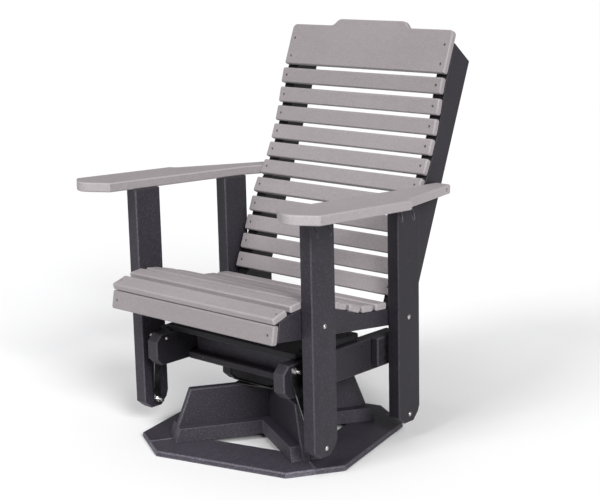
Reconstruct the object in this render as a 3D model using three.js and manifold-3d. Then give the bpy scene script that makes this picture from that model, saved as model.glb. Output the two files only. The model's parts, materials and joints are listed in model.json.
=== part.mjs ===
// Swivel glider: an outdoor armchair of solid plastic lumber that glides on four
// swinging steel straps and turns on a flat bearing over a cross-shaped pedestal.
//
// Millimetres, +Z up. The sitter faces -Y and the chair's midplane is X = 0.
// While the chair is built, Y = 0 is the front of the front legs and Z = 0 is
// the height of the straps' lower pivots. The finished group is then moved so that
// its origin is the centre of the bottom of its box.

import * as THREE from "three";
import { mergeVertices } from "three/addons/utils/BufferGeometryUtils.js";
import Module from "manifold-3d";

const wasm = await Module();
wasm.setup();

// Lumber stock

const plankThick = 38.1; // heavy boards: legs, rails, posts
const plankWide = 88.9;
const slatThick = 19.05;
const slatWide = 44.45;
const armThick = 25.4;
const armWide = 139.7;
const webThick = 25.4;
const cleatThick = 28.6;
const ease = 3; // rounding of most lumber edges
const railEase = 1; // of the contoured boards
const corner = 4.5; // rounding of a board's cut corners
const fit = 0.3; // gap between pieces that touch

// Seat frame. Heights are above the straps' lower pivots.

const seatWide = 596.9; // clear width between the legs
const seatDepth = 428.1; // from the apron's face to the back
const seatLow = 294.5; // the seat contour's lowest point
const seatDish = 69.1; // its crown above that
const seatSlats = 8;
const seatGap = 11.15; // between the slats, along the contour
const noseExtra = 6.35; // the front slat is a little wider than the others
const apronReach = 93.2; // ahead of the front legs
const apronDrop = 48;
const apronStep = 2.8; // its face, ahead of the front slat
const apronLean = THREE.MathUtils.degToRad(10.3); // its top leans back
const railSlope = THREE.MathUtils.degToRad(6.5);
const railDrop = 6.5; // the rails' underside at the front legs, below the contour
const footDrop = 23; // of the legs, below the lower pivots
const legSetBack = 3.4; // the rear legs' front, behind the contour's end
const boltAboveRail = 30.8; // the front legs' upper bolts above the rails' underside
const boltBelowBend = 51.3; // the rear legs' upper bolts below the posts' bend

// Arms

const armTop = 627.5; // at the front of the legs
const armSlope = THREE.MathUtils.degToRad(2.63);
const armLap = 6.35; // the inner edges, outside the legs' inner faces
const armShoulder = 82; // where the nose starts, ahead of the legs
const armNose = 116.5; // where the nose turns round
const noseHalf = 26;
const armWaist = 76.3; // where the outer edge steps in, ahead of the rear legs
const waistStep = 15;
const armNotch = 53.3; // behind the rear legs, where the inner edge reaches the post
const armTail = 131.8; // behind the rear legs
const tailWide = 52;
const tailCorner = 10;
const tailBore = { radius: 6, deep: 9, ahead: 25, down: 12.7 }; // a screw's hole

// Back

const backInset = 6.35; // the posts' outer faces, inside the legs
const backSlats = 11;
const backGap = 11.55;
const backAngle = THREE.MathUtils.degToRad(21.43);
const backSetBack = 141.5; // the bend in the posts' rear edge, behind the contour's end
const backRise = 27.5; // that bend, above the contour's lowest point
const backStart = -17.2; // centre of the lowest slat, along the posts from that bend
const lumbarScoop = 23.4; // hollow of the posts' front edge behind the sitter's waist
const postTail = 72.5; // upright stretch of their rear edge, below the bend
const crestShoulder = 120.6;
const crestRise = 19.6; // its middle stands above the shoulders
const crestFlat = 225.4; // width of the raised middle
const crestSweep = 34.3; // width of each S-shaped step
const crestGap = 10.5;
const crestCorner = 14;

// Pocket holes at the tops of the legs, for the screws that hold the arms

const pocketRadius = 4.8;
const pocketTurn = THREE.MathUtils.degToRad(15); // into the leg
const pocketLean = THREE.MathUtils.degToRad(18); // towards the front
const pocketDeep = 12;
const pocketDown = 40; // where the drill enters, below the arm
const pocketShares = { front: [0.24, 0.79], rear: [0.15, 0.71] }; // of a leg's width

// Cradle and swinging straps

const strapStep = 43.25; // how far the straps step out from the cradle to the legs
const strapReach = 28.45; // the upper pivots, beyond the lower ones
const strapWide = 26;
const strapThick = 3.5;
const strapFlat = 30; // straight ends of a strap, beyond its pivots
const cradleTop = 211.4; // of its rails
const cradleClip = 20; // cut corners of the rails
const cradleEnd = 36.6; // of the rails, beyond the upper pivots
const pivotDrop = 15.7; // the upper pivots, below the rails' top
const panelPitch = 133; // between the cross panels
const ledgerDeep = 33.4;
const deckLong = 248.5;
const deckAhead = 46.9; // its middle, ahead of the cradle's
const deckInset = 17.2; // its ends, inside the rails' outer faces
const stopLong = 57;
const stopTall = 78;
const stopThick = 24.5;
const stopInside = 63.7; // a stop's middle, inside the upper pivots
const stopTop = 3.6; // above the rails
const boltRadius = 4.75;
const boltHead = 4; // height of a bolt's head
const headRadius = 7.2;
const nutRadius = 8.5;
const nutThick = 8;
const boltTail = 13; // thread that stands out of a nut
const spacerRadius = 12;
const pivotPlay = 0.3;
const linkPlay = 1.8; // in the rear straps' lower eyes, where the linkage closes

// Pedestal and swivel

const swivelAhead = 12.6; // the swivel axis, ahead of the cradle's middle
const baseTurn = THREE.MathUtils.degToRad(14.8); // how far the pedestal stands turned
const ringWide = 620.8;
const ringDeep = 585.4;
const ringClipX = 115.3;
const ringClipY = 111.7;
const ringBoard = 139.7;
const ringThick = 15.9;
const ringTop = -61.7; // against the lower pivots
const webTopReach = 230; // from the axis to a web's upper corner
const webFootReach = 282;
const cleatHigh = 38.1;
const bearingHigh = 7.7; // from the webs to the block above
const bearingSide = 152.4;
const bearingPlate = 2;
const raceRadius = 44; // inside of the lower race
const raceWide = 10;
const bearingHole = 3.2;
const blockWide = 168;
const blockTall = 37.5;
const blockClipX = 27;
const blockClipZ = 11;

// Values that follow from those

const seatEnd = seatDepth - apronReach;
const railLow = seatLow - railDrop;
const legPitch = seatEnd + legSetBack;
const legInner = seatWide / 2;
const legOuter = legInner + plankThick;
const seatHalf = legInner - fit;
const postHalf = legInner - backInset;
const backFootY = seatEnd + backSetBack;
const backFootZ = seatLow + backRise;
const backPitch = slatWide + backGap;
const cradleMiddle = (legPitch + plankWide) / 2;
const pivotReach = legPitch / 2 + strapReach;
const pivotHigh = cradleTop - pivotDrop;
const cradleHalf = legInner - strapStep;
const cradleInner = cradleHalf - plankThick;
const strapLength = Math.hypot(strapReach, pivotHigh);
const strapLean = Math.atan2(strapReach, pivotHigh);
const eyeReach = strapWide / 2;
const cradleUnder = cradleTop - plankWide;
const panelStart = cradleMiddle - panelPitch / 2;
const blockTop = cradleUnder - fit;
const blockUnder = blockTop - blockTall;
const webTop = blockUnder - bearingHigh - fit;
const webLow = ringTop + fit;
const swivelY = cradleMiddle - swivelAhead;

const lightLumber = new THREE.MeshStandardMaterial({ color: 0xa39c9e, roughness: 0.72 });
const darkLumber = new THREE.MeshStandardMaterial({ color: 0x3b3a3f, roughness: 0.7 });
const steel = new THREE.MeshStandardMaterial({ color: 0x9a9b9d, roughness: 0.35, metalness: 1 });

// Axes for profiles: the outline's first and second axes, then the way it is extruded

const alongX = new THREE.Matrix4().makeBasis(
  new THREE.Vector3(0, 1, 0), new THREE.Vector3(0, 0, 1), new THREE.Vector3(1, 0, 0));
const alongY = new THREE.Matrix4().makeBasis(
  new THREE.Vector3(1, 0, 0), new THREE.Vector3(0, 0, 1), new THREE.Vector3(0, -1, 0));
const alongZ = new THREE.Matrix4();

function outline(points) {
  return new THREE.Shape(points.map(([a, b]) => new THREE.Vector2(a, b)));
}

// A board of the given outline, centred on the middle of its thickness

function board(shape, thickness, axes, rounding = ease) {
  const geometry = new THREE.ExtrudeGeometry(shape, {
    depth: thickness - 2 * rounding,
    curveSegments: shape.isBox ? 1 : 5,
    bevelEnabled: rounding > 0,
    bevelThickness: rounding,
    bevelSize: rounding,
    bevelOffset: -rounding,
    bevelSegments: 1,
  });
  geometry.translate(0, 0, rounding - thickness / 2);
  return geometry.applyMatrix4(axes);
}

function roundedBox(width, height, radius) {
  const shape = new THREE.Shape();
  const x = width / 2 - radius;
  const y = height / 2 - radius;
  shape.absarc(x, -y, radius, -Math.PI / 2, 0);
  shape.absarc(x, y, radius, 0, Math.PI / 2);
  shape.absarc(-x, y, radius, Math.PI / 2, Math.PI);
  shape.absarc(-x, -y, radius, Math.PI, Math.PI * 1.5);
  shape.closePath();
  shape.isBox = true;
  return shape;
}

// A slat lies along X with its width along Y, and its underside is at Z = 0

function slat(length, width) {
  const shape = roundedBox(width, slatThick, corner);
  return board(shape, length, alongX).translate(0, 0, slatThick / 2);
}

// Booleans

function solid(geometry) {
  const bare = geometry.clone();
  bare.deleteAttribute("normal");
  bare.deleteAttribute("uv");
  const merged = mergeVertices(bare, 1e-4);
  return new wasm.Manifold(new wasm.Mesh({
    numProp: 3,
    vertProperties: new Float32Array(merged.attributes.position.array),
    triVerts: new Uint32Array(merged.index.array),
  }));
}

function meshGeometry(body) {
  const mesh = body.getMesh();
  const geometry = new THREE.BufferGeometry();
  geometry.setAttribute("position", new THREE.BufferAttribute(mesh.vertProperties, 3));
  geometry.setIndex(new THREE.BufferAttribute(mesh.triVerts, 1));
  return geometry;
}

function combine(start, added, removed = []) {
  let body = solid(start);
  for (const geometry of added) {
    body = body.add(solid(geometry));
  }
  for (const geometry of removed) {
    body = body.subtract(solid(geometry));
  }
  const geometry = meshGeometry(body);
  geometry.computeVertexNormals();
  return geometry;
}

// A round bar along X from one place to another

function barX(radius, from, to, y = 0, z = 0, sides = 24) {
  const geometry = new THREE.CylinderGeometry(radius, radius, Math.abs(to - from), sides);
  geometry.rotateZ(Math.PI / 2);
  return geometry.translate((from + to) / 2, y, z);
}

const chair = new THREE.Group();

function place(parent, name, geometry, material) {
  const mesh = new THREE.Mesh(geometry, material);
  mesh.name = name;
  parent.add(mesh);
  return mesh;
}

function sideName(side) {
  return side < 0 ? "left" : "right";
}

// A curve that boards rest on, as many short steps

function steps(points) {
  const curve = new THREE.SplineCurve(points.map(([a, b]) => new THREE.Vector2(a, b)));
  return curve.getPoints(points.length * 6);
}

function heightOn(curve, at) {
  for (let i = 1; i < curve.length; i += 1) {
    if (at <= curve[i].x || i === curve.length - 1) {
      const share = (at - curve[i - 1].x) / (curve[i].x - curve[i - 1].x);
      return curve[i - 1].y + share * (curve[i].y - curve[i - 1].y);
    }
  }
  return curve[0].y;
}

// Where a flat slat of some width comes to rest on a curve: it touches at its
// edges over a hollow, and is lifted clear where the curve crowns below it.

function restOn(curve, from, width) {
  let to = from + width;
  let turn = 0;
  for (let round = 0; round < 6; round += 1) {
    turn = Math.atan2(heightOn(curve, to) - heightOn(curve, from), to - from);
    to = from + width * Math.cos(turn);
  }
  let lift = 0;
  for (const point of curve) {
    if (point.x > from && point.x < to) {
      const chord = heightOn(curve, from) + (point.x - from) * Math.tan(turn);
      lift = Math.max(lift, (point.y - chord) * Math.cos(turn));
    }
  }
  const middle = (from + to) / 2;
  const height = (heightOn(curve, from) + heightOn(curve, to)) / 2;
  return {
    at: middle - (lift + fit) * Math.sin(turn),
    height: height + (lift + fit) * Math.cos(turn),
    turn,
    to,
  };
}

// Seat contour, front to back, as shares of the seat's depth and dish

const seatContourShares = [
  [0, 0.69], [0.12, 0.915], [0.217, 1], [0.36, 0.91], [0.527, 0.62],
  [0.626, 0.435], [0.731, 0.19], [0.83, 0.1], [1, 0],
];
const seatContour = steps(seatContourShares.map(([depth, rise]) => [
  depth * seatDepth - apronReach,
  seatLow + rise * seatDish,
]));
const [beforeTail, tailShares] = seatContourShares.slice(-2);
const seatTail = (beforeTail[1] - tailShares[1]) * seatDish
  / ((tailShares[0] - beforeTail[0]) * seatDepth);

// The posts' front edge in the back's own frame: along the post, and ahead of its
// rear edge. The hollow is given in shares of the slats' run and of its depth.

const scoopShares = [
  [-0.35, 0.06], [0, 0.06], [0.335, 0.06], [0.424, 0.21], [0.501, 0.66], [0.603, 0.94],
  [0.701, 1], [0.801, 0.94], [0.901, 0.7], [1, 0.39], [1.07, 0.35], [1.35, 0.35],
];
const postTopShares = { front: 0.74, rear: 0.52 }; // of the crest's shoulders
const crestRest = 0.6; // share of the crest that lies on the posts
const backRun = (backSlats - 1) * backPitch;
const backContour = steps(scoopShares.map(([run, depth]) => [
  backStart + run * backRun,
  plankWide - depth * lumbarScoop,
]));

function backToChair(along, ahead) {
  return [
    backFootY + along * Math.sin(backAngle) - ahead * Math.cos(backAngle),
    backFootZ + along * Math.cos(backAngle) + ahead * Math.sin(backAngle),
  ];
}

// Pedestal

function webOutline(low, high, from) {
  const slope = (webFootReach - webTopReach) / (webTop - ringTop);
  const reach = (z) => webFootReach - slope * (z - ringTop);
  const start = (z) => (from === undefined ? -reach(z) : from);
  return outline([
    [start(low), low],
    [reach(low), low],
    [reach(high), high],
    [start(high), high],
  ]);
}

function addPedestal() {
  const base = new THREE.Group();
  base.position.set(0, swivelY, 0);
  base.rotation.z = baseTurn;
  chair.add(base);

  const x = ringWide / 2;
  const y = ringDeep / 2;
  const holeX = x - ringBoard;
  const holeY = y - ringBoard;
  const midX = x - ringClipX / 2;
  const midY = y - ringClipY / 2;
  const gap = fit * Math.SQRT1_2;
  for (const [name, side] of [["ring_front", -1], ["ring_rear", 1]]) {
    const shape = outline([
      [-holeX + gap, side * holeY],
      [-midX + gap, side * midY],
      [-x + ringClipX, side * y],
      [x - ringClipX, side * y],
      [midX - gap, side * midY],
      [holeX - gap, side * holeY],
    ]);
    const mesh = place(base, name, board(shape, ringThick, alongZ), darkLumber);
    mesh.position.z = ringTop - ringThick / 2;
  }
  for (const [name, side] of [["ring_left", -1], ["ring_right", 1]]) {
    const shape = outline([
      [side * holeX, -holeY + gap],
      [side * midX, -midY + gap],
      [side * x, -y + ringClipY],
      [side * x, y - ringClipY],
      [side * midX, midY - gap],
      [side * holeX, holeY - gap],
    ]);
    const mesh = place(base, name, board(shape, ringThick, alongZ), darkLumber);
    mesh.position.z = ringTop - ringThick / 2;
  }

  // Two upright webs along the ring's diagonals, half lapped where they cross
  const diagonal = Math.atan2(ringDeep, ringWide);
  const turns = [diagonal, Math.PI - diagonal];
  const lapHeight = (webLow + webTop) / 2;
  const web = () => board(webOutline(webLow, webTop), webThick, alongY);
  const slot = (turn, low, high) => {
    const block = new THREE.BoxGeometry(webFootReach, webThick + 2 * fit, high - low);
    block.translate(0, 0, (low + high) / 2);
    return block.rotateZ(turn);
  };
  const tall = webTop - ringTop;
  place(base, "pedestal_web_a", combine(web().rotateZ(turns[0]), [],
    [slot(turns[1], lapHeight - fit, lapHeight + tall)]), darkLumber);
  place(base, "pedestal_web_b", combine(web().rotateZ(turns[1]), [],
    [slot(turns[0], lapHeight - tall, lapHeight)]), darkLumber);

  // Mitred foot cleats fill the four corners between the webs
  const names = ["right", "rear", "left", "front"];
  const offset = webThick / 2 + fit + cleatThick / 2;
  const arms = [-diagonal, diagonal, Math.PI - diagonal, Math.PI + diagonal];
  const cleat = (turn, side) => {
    const shape = webOutline(webLow, webLow + cleatHigh, 0);
    return board(shape, cleatThick, alongY, 0).translate(0, side * offset, 0).rotateZ(turn);
  };
  const clearance = (turn) => {
    const block = new THREE.BoxGeometry(webFootReach * 3, webThick + 2 * fit, tall * 2);
    return block.rotateZ(turn);
  };
  names.forEach((name, i) => {
    const first = arms[i];
    const second = arms[(i + 1) % arms.length];
    place(base, `foot_cleat_${name}`, combine(cleat(first, 1), [cleat(second, -1)],
      [clearance(first), clearance(second)]), darkLumber);
  });

  // Lower half of the flat bearing, with its race standing up
  place(base, "bearing_lower", bearing(raceRadius, 1), steel)
    .position.z = webTop + fit;
}

// A square plate at Z = 0 with a round race that stands up or hangs down

function bearing(inside, up) {
  const shape = roundedBox(bearingSide, bearingSide, ease * 2);
  const plate = board(shape, bearingPlate, alongZ, 0);
  plate.translate(0, 0, up * bearingPlate / 2);
  const height = up * (bearingHigh - bearingPlate - 2 * fit);
  const low = up * bearingPlate / 2;
  const race = new THREE.LatheGeometry([
    new THREE.Vector2(inside, Math.min(low, height)),
    new THREE.Vector2(inside + raceWide, Math.min(low, height)),
    new THREE.Vector2(inside + raceWide, Math.max(low, height)),
    new THREE.Vector2(inside, Math.max(low, height)),
    new THREE.Vector2(inside, Math.min(low, height)),
  ], 48);
  race.rotateX(Math.PI / 2);
  const holes = [];
  const reach = bearingSide / 2 - 2 * ease - bearingHole;
  for (const sx of [-1, 1]) {
    for (const sy of [-1, 1]) {
      const hole = new THREE.CylinderGeometry(bearingHole, bearingHole, bearingHigh, 16);
      hole.rotateX(Math.PI / 2);
      holes.push(hole.translate(sx * reach, sy * reach, 0));
    }
  }
  const bore = new THREE.CylinderGeometry(inside, inside, bearingHigh, 48);
  bore.rotateX(Math.PI / 2);
  return combine(plate, [race], [...holes, bore]);
}

// Cradle: a shallow box between the seat's legs that carries the straps

function pinSet(head, nutFace, inward, y, z) {
  // head and nutFace are the places of the head's and the nut's bearing faces
  const way = Math.sign(nutFace - head);
  return [
    barX(boltRadius, head, nutFace + way * (nutThick + boltTail), y, z),
    barX(headRadius, head - way * boltHead, head + way * inward, y, z, 6),
    barX(nutRadius, nutFace, nutFace + way * nutThick, y, z, 6),
  ];
}

function addCradle() {
  const front = cradleMiddle - pivotReach - cradleEnd;
  const rear = cradleMiddle + pivotReach + cradleEnd;
  const railShape = outline([
    [front + cradleClip, cradleUnder],
    [rear - cradleClip, cradleUnder],
    [rear, cradleUnder + cradleClip],
    [rear, cradleTop - cradleClip],
    [rear - cradleClip, cradleTop],
    [front + cradleClip, cradleTop],
    [front, cradleTop - cradleClip],
    [front, cradleUnder + cradleClip],
  ]);
  for (const side of [-1, 1]) {
    const rail = board(railShape, plankThick, alongX);
    rail.translate(side * (cradleHalf - plankThick / 2), 0, 0);
    const pins = [-1, 1].flatMap((end) => pinSet(
      side * cradleInner,
      side * (cradleHalf + strapThick + 2 * fit),
      fit,
      cradleMiddle + end * pivotReach,
      pivotHigh));
    place(chair, `cradle_rail_${sideName(side)}`, combine(rail, pins), darkLumber);

    for (const [name, end] of [["front", -1], ["rear", 1]]) {
      const shape = roundedBox(stopLong, stopTall, corner);
      const stop = place(chair, `stop_block_${name}_${sideName(side)}`,
        board(shape, stopThick, alongX), darkLumber);
      stop.position.set(side * (cradleHalf + fit + stopThick / 2),
        cradleMiddle + end * (pivotReach - stopInside),
        cradleTop + stopTop - stopTall / 2);
    }
  }

  const panelLong = 2 * (cradleInner - fit);
  for (const [name, row] of [["front", 0], ["rear", 1]]) {
    const panel = place(chair, `cradle_panel_${name}`,
      board(roundedBox(panelLong, plankWide, corner), plankThick, alongY), darkLumber);
    panel.position.set(0, panelStart + row * panelPitch, (cradleUnder + cradleTop) / 2);
  }
  const ledger = place(chair, "cradle_ledger",
    board(roundedBox(panelLong, slatThick, corner), ledgerDeep, alongY), darkLumber);
  ledger.position.set(0, panelStart - plankThick / 2 - fit - ledgerDeep / 2,
    cradleUnder + slatThick / 2);

  const deckBoard = deckLong / 2 - fit / 2;
  for (const [name, row] of [["front", 0], ["rear", 1]]) {
    const deck = place(chair, `deck_board_${name}`,
      slat(2 * (cradleHalf - deckInset), deckBoard), darkLumber);
    deck.position.set(0, cradleMiddle - deckAhead + (row - 0.5) * deckLong / 2,
      cradleTop + fit);
  }

  // Block under the panels, with sloping lower ends, that the bearing is screwed to
  const blockDeep = panelPitch + plankThick;
  const x = blockWide / 2;
  const blockShape = outline([
    [-x + blockClipX, blockUnder],
    [x - blockClipX, blockUnder],
    [x, blockUnder + blockClipZ],
    [x, blockTop],
    [-x, blockTop],
    [-x, blockUnder + blockClipZ],
  ]);
  const block = place(chair, "swivel_block", board(blockShape, blockDeep, alongY), darkLumber);
  block.position.y = panelStart + panelPitch / 2;

  place(chair, "bearing_upper", bearing(raceRadius + raceWide + fit, -1), steel)
    .position.set(0, swivelY, blockUnder - fit);
}

// Cranked steel straps from the cradle's rails out to the legs

function strapGeometry(side, play) {
  const top = cradleHalf + fit;
  const foot = legInner - fit - strapThick;
  const crank = [
    [top, eyeReach],
    [top, -strapFlat],
    [foot, eyeReach + pivotPlay - strapLength],
    [foot, -strapLength - eyeReach],
    [foot + strapThick, -strapLength - eyeReach],
    [foot + strapThick, eyeReach - strapLength],
    [top + strapThick, -strapFlat],
    [top + strapThick, eyeReach],
  ].map(([x, z]) => [side * x, z]);
  const flat = new THREE.Shape();
  flat.absarc(0, 0, eyeReach, 0, Math.PI);
  flat.absarc(0, -strapLength, eyeReach, Math.PI, 2 * Math.PI);
  flat.closePath();
  const plan = board(flat, 4 * legInner, alongX, 0);
  const body = solid(board(outline(crank), 2 * strapWide, alongY, 0)).intersect(solid(plan));
  const eyes = [
    barX(boltRadius + pivotPlay, 0, side * legOuter, 0, 0),
    barX(boltRadius + play, 0, side * legOuter, 0, -strapLength),
  ];
  let strap = body;
  for (const eye of eyes) {
    strap = strap.subtract(solid(eye));
  }
  const geometry = meshGeometry(strap);
  geometry.computeVertexNormals();
  return geometry;
}

function addStraps() {
  for (const [name, end, play] of [["front", -1, pivotPlay], ["rear", 1, linkPlay]]) {
    for (const side of [-1, 1]) {
      const strap = place(chair, `strap_${name}_${sideName(side)}`,
        strapGeometry(side, play), steel);
      strap.position.set(0, cradleMiddle + end * pivotReach, pivotHigh);
      strap.rotation.x = -end * strapLean;
    }
  }
}

// Legs, with the bolts that they carry

const footShares = {
  frontClip: [0.28, 0.91], // of the leg's width and of the foot's drop
  heel: [0.7, 1],
  ankle: [0.93, 0.07],
  calf: [1, -0.7],
};

// The drill for a pocket hole, as it leaves it: it enters a leg's outer face at (y, z)

function pocket(side, y, z) {
  const run = 2 * pocketDeep + 2 * pocketRadius / Math.sin(pocketTurn);
  const drill = new THREE.CylinderGeometry(pocketRadius, pocketRadius, run, 12);
  drill.rotateX(Math.PI / 2).translate(0, 0, pocketDeep - run / 2);
  drill.rotateY(-side * pocketTurn).rotateX(pocketLean);
  return drill.translate(side * legOuter, y, z);
}

function addLegs() {
  const underArm = (y) => armTop - y * Math.tan(armSlope) - armThick / Math.cos(armSlope)
    - fit;
  const rows = [
    { name: "front", start: 0, share: 0.513, high: railLow + boltAboveRail, spacer: 0 },
    {
      name: "rear", start: legPitch, share: 0.48, high: backFootZ - boltBelowBend,
      spacer: backInset,
    },
  ];
  for (const { name, start, share, high, spacer } of rows) {
    const end = start + plankWide;
    const at = ([across, drop]) => [start + across * plankWide, -drop * footDrop];
    const shape = outline([
      [start, footDrop * (footShares.frontClip[1] - 1)],
      [start + footShares.frontClip[0] * plankWide, -footDrop],
      at(footShares.heel),
      at(footShares.ankle),
      at(footShares.calf),
      [end, underArm(end)],
      [start, underArm(start)],
    ]);
    for (const side of [-1, 1]) {
      const leg = board(shape, plankThick, alongX);
      leg.translate(side * (legInner + plankThick / 2), 0, 0);
      const boltY = start + share * plankWide;
      const parts = pinSet(side * legOuter, side * (legInner - strapThick - 2 * fit), fit,
        start + plankWide / 2, 0);
      parts.push(barX(headRadius, side * (legOuter - fit), side * (legOuter + boltHead),
        boltY, high, 6));
      if (spacer > 0) {
        parts.push(barX(spacerRadius, side * (legInner + fit),
          side * (legInner - spacer + fit), boltY, high));
      }
      const holes = pocketShares[name].map((across) => {
        const y = start + across * plankWide;
        return pocket(side, y, underArm(y) - pocketDown);
      });
      place(chair, `leg_${name}_${sideName(side)}`, combine(leg, parts, holes), darkLumber);
    }
  }
}

// Seat

function addSeat() {
  const apronTop = heightOn(seatContour, -apronReach) - fit;
  const apronFace = -apronReach - apronStep;
  const apronBack = (z) => apronFace + (slatThick + fit) / Math.cos(apronLean)
    - (apronTop - z) * Math.tan(apronLean);
  const under = (y) => railLow - y * Math.tan(railSlope);
  const over = (y) => seatLow - (y - seatEnd) * seatTail;
  const [postY, postZ] = backToChair(0, plankWide + fit);
  const post = (z) => postY + (z - postZ) * Math.tan(backAngle);
  // Corners where the rail's two edges meet the post's front and the apron's back
  const meet = (edge, line) => {
    let y = line(seatLow);
    for (let round = 0; round < 20; round += 1) {
      y = line(edge(y));
    }
    return [y, edge(y)];
  };
  const brow = meet((y) => heightOn(seatContour, y), apronBack);
  const contour = seatContour.filter((point) => point.x > brow[0] + corner);
  const railShape = outline([
    meet(under, apronBack),
    meet(under, post),
    meet(over, post),
    ...contour.reverse().map((point) => [point.x, point.y]),
    brow,
  ]);
  for (const side of [-1, 1]) {
    const rail = place(chair, `seat_rail_${sideName(side)}`,
      board(railShape, plankThick, alongX, railEase), darkLumber);
    rail.position.x = side * (seatHalf - plankThick / 2);
  }

  const apronBoard = board(roundedBox(2 * seatHalf, apronDrop, corner), slatThick, alongY);
  apronBoard.translate(0, slatThick / 2, -apronDrop / 2);
  const apron = place(chair, "apron", apronBoard, lightLumber);
  apron.position.set(0, apronFace, apronTop);
  apron.rotation.x = -apronLean;

  // The slats and the gaps between them fill the contour's length
  let length = 0;
  for (let i = 1; i < seatContour.length; i += 1) {
    length += seatContour[i].distanceTo(seatContour[i - 1]);
  }
  const common = (length - noseExtra - (seatSlats - 1) * seatGap) / seatSlats;
  let from = -apronReach;
  for (let i = 0; i < seatSlats; i += 1) {
    const width = i === 0 ? common + noseExtra : common;
    const spot = restOn(seatContour, from, width);
    const mesh = place(chair, `seat_slat_${i + 1}`, slat(2 * seatHalf, width), lightLumber);
    mesh.position.set(0, spot.at, spot.height);
    mesh.rotation.x = spot.turn;
    from = spot.to + seatGap * Math.cos(spot.turn);
  }
}

// Back: posts, slats and crest, in a frame that leans with the posts

function addBack() {
  const back = new THREE.Group();
  back.position.set(0, backFootY, backFootZ);
  back.rotation.x = -backAngle;
  chair.add(back);

  const crestStart = backStart + backRun + slatWide / 2 + crestGap;
  const topFront = crestStart + crestShoulder * postTopShares.front;
  const topRear = crestStart + crestShoulder * postTopShares.rear;
  // Below the bend the posts' rear edge is upright, and their lower ends are level
  const tail = [postTail * Math.sin(backAngle), -postTail * Math.cos(backAngle)];
  const toe = tail[1] - (tail[0] + plankWide) * Math.tan(backAngle);
  const front = backContour.filter((p) => p.x > toe + corner && p.x < topFront - corner);
  const postShape = outline([
    tail,
    [0, 0],
    [0, topRear],
    [-heightOn(backContour, topFront), topFront],
    ...front.reverse().map((p) => [-p.y, p.x]),
    [-plankWide, toe],
  ]);
  for (const side of [-1, 1]) {
    const post = place(back, `back_post_${sideName(side)}`,
      board(postShape, plankThick, alongX, railEase), darkLumber);
    post.position.x = side * (postHalf - plankThick / 2);
  }

  for (let i = 0; i < backSlats; i += 1) {
    const spot = restOn(backContour, backStart + i * backPitch - slatWide / 2, slatWide);
    const mesh = place(back, `back_slat_${i + 1}`, slat(2 * postHalf, slatWide), lightLumber);
    mesh.position.set(0, -spot.height, spot.at);
    mesh.rotation.x = Math.PI / 2 + spot.turn;
  }

  // The crest's upper edge steps up to its middle through two S curves
  const half = postHalf;
  const inner = crestFlat / 2;
  const outer = inner + crestSweep;
  const top = crestShoulder + crestRise;
  const bend = crestSweep / 2;
  const shape = new THREE.Shape();
  shape.moveTo(-half, ease);
  shape.lineTo(-half + ease, 0);
  shape.lineTo(half - ease, 0);
  shape.lineTo(half, ease);
  shape.absarc(half - crestCorner, crestShoulder - crestCorner, crestCorner, 0, Math.PI / 2);
  shape.lineTo(outer, crestShoulder);
  shape.bezierCurveTo(outer - bend, crestShoulder, inner + bend, top, inner, top);
  shape.lineTo(-inner, top);
  shape.bezierCurveTo(-inner - bend, top, -outer + bend, crestShoulder, -outer, crestShoulder);
  shape.absarc(crestCorner - half, crestShoulder - crestCorner, crestCorner,
    Math.PI / 2, Math.PI);
  shape.closePath();
  const crest = place(back, "crest", board(shape, slatThick, alongY), lightLumber);
  const lean = restOn(backContour, crestStart, crestShoulder * crestRest);
  crest.rotation.x = lean.turn;
  crest.position.set(0, -lean.height - slatThick / 2 * Math.cos(lean.turn), crestStart);
}

// Arms: a wide paddle with a pointed front and a narrow tail against the post

const waistShares = [1.4, 1]; // the curve's end, in shares of the step

function addArms() {
  const arms = new THREE.Group();
  arms.position.z = armTop;
  arms.rotation.x = -armSlope;
  chair.add(arms);

  const half = armWide / 2;
  const middle = legInner + armLap + half;
  const noseTurn = Math.atan2(armNose - armShoulder, half - noseHalf);
  const noseRadius = noseHalf / Math.sin(noseTurn);
  const noseCentre = noseRadius * Math.cos(noseTurn) - armNose;
  const waist = legPitch - armWaist;
  const rear = legPitch + plankWide;
  const tailEnd = rear + armTail;
  const postFace = postHalf + fit - middle;
  const tailFace = postFace + tailWide;
  for (const side of [-1, 1]) {
    const shape = new THREE.Shape();
    const from = -Math.PI / 2 - noseTurn;
    const to = -Math.PI / 2 + noseTurn;
    shape.moveTo(-half, rear);
    shape.lineTo(-half, -armShoulder);
    shape.absarc(0, noseCentre, noseRadius, from, to);
    shape.lineTo(half, -armShoulder);
    shape.lineTo(half, waist);
    shape.quadraticCurveTo(half - waistStep, waist,
      half - waistShares[0] * waistStep, waist + waistShares[1] * waistStep);
    shape.lineTo(tailFace, tailEnd - tailCorner);
    shape.quadraticCurveTo(tailFace, tailEnd, tailFace - tailCorner, tailEnd);
    shape.lineTo(postFace, tailEnd);
    shape.lineTo(postFace, rear + armNotch);
    shape.closePath();
    const geometry = board(shape, armThick, alongZ);
    geometry.translate(middle, 0, -armThick / 2);
    if (side < 0) {
      mirrorX(geometry);
    }
    const face = middle + tailFace;
    const bore = barX(tailBore.radius, side * (face - tailBore.deep), side * (face + tailWide),
      tailEnd - tailBore.ahead, -tailBore.down, 16);
    place(arms, `arm_${sideName(side)}`, combine(geometry, [], [bore]), lightLumber);
  }
}

// Turns a shape into its mirror image and keeps its faces pointing outward

function mirrorX(geometry) {
  geometry.scale(-1, 1, 1);
  const position = geometry.attributes.position.array;
  for (let i = 0; i < position.length; i += 9) {
    for (let k = 0; k < 3; k += 1) {
      const kept = position[i + 3 + k];
      position[i + 3 + k] = position[i + 6 + k];
      position[i + 6 + k] = kept;
    }
  }
  geometry.computeVertexNormals();
}

addPedestal();
addCradle();
addStraps();
addLegs();
addSeat();
addBack();
addArms();

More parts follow.
